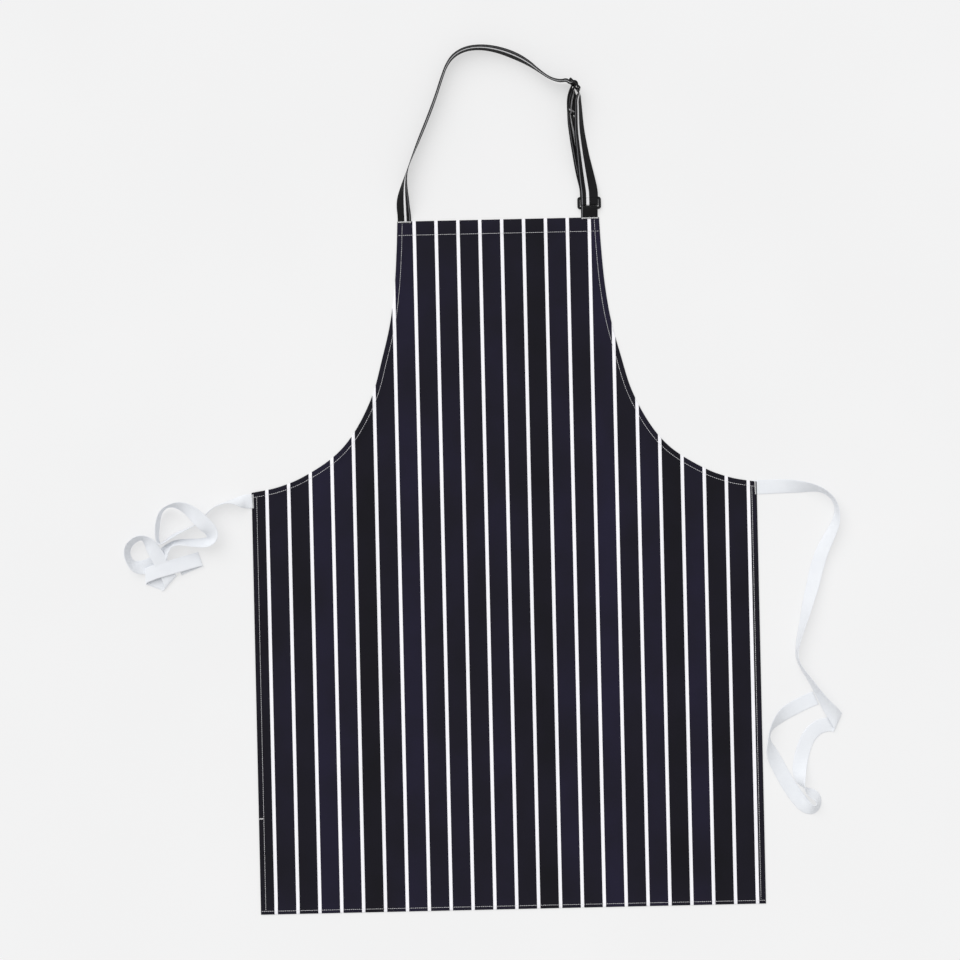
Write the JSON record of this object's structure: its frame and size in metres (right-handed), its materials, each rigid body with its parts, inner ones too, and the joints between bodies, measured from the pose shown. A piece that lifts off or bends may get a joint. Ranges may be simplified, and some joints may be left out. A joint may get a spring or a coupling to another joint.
{
  "type": "apron",
  "caption": "Bib apron of narrow-striped cloth lying flat, with a webbing neck loop adjusted by a three-bar slider and a ring on a sewn tab, and long waist ties",
  "frame": {"origin": "middle of the width and of the length from the bottom hem to the top of the neck strap, on the surface the apron lies on", "axes": "+Y from the bottom hem to the neck loop, +Z out of the face, +X to the side that carries the adjuster"},
  "size_m": [1.0046, 1.2131, 0.032],
  "materials": {
    "striped_cloth": "satin",
    "white_thread": "matte",
    "black_webbing": "matte",
    "white_tape": "matte",
    "black_plastic": "satin",
    "label_cloth": "satin"
  },
  "bodies": {
    "apron": {"body_panel": "striped_cloth", "top_hem": "striped_cloth", "bottom_hem": "striped_cloth", "left_side_hem": "striped_cloth", "right_side_hem": "striped_cloth", "left_armhole_hem": "striped_cloth", "right_armhole_hem": "striped_cloth", "top_hem_stitching": "white_thread", "bottom_hem_stitching": "white_thread", "left_side_stitching": "white_thread", "right_side_stitching": "white_thread", "left_armhole_stitching": "white_thread", "right_armhole_stitching": "white_thread", "strap_bar_tack": "white_thread", "tab_bar_tack": "white_thread", "left_tie_stitching": "white_thread", "right_tie_stitching": "white_thread", "care_label_stitch": "white_thread", "neck_strap_lower": "black_webbing", "ring_tab": "black_webbing", "left_waist_tie": "white_tape", "right_waist_tie": "white_tape", "care_label": "label_cloth"},
    "ring": {"strap_ring": "black_plastic", "ring_end_loop": "black_webbing", "adjusting_run": "black_webbing", "return_run": "black_webbing", "neck_strap_upper": "black_webbing"},
    "slider": {"slider_buckle": "black_plastic", "strap_end_fold": "black_webbing", "end_fold_stitching": "white_thread"}
  },
  "joints": [
    {"name": "ring_swing", "type": "hinge", "parent": "apron", "child": "ring", "pos_m": [0.1285, 0.4001, 0.00305], "axis": [1, 0, 0], "range_deg": [0, 150], "deforming": ["neck_strap_lower", "neck_strap_upper"]},
    {"name": "slider_slide", "type": "slide", "parent": "ring", "child": "slider", "axis": [0.108, -0.9941, 0], "range_m": [0, 0.09], "deforming": ["adjusting_run", "return_run", "neck_strap_upper"]}
  ]
}
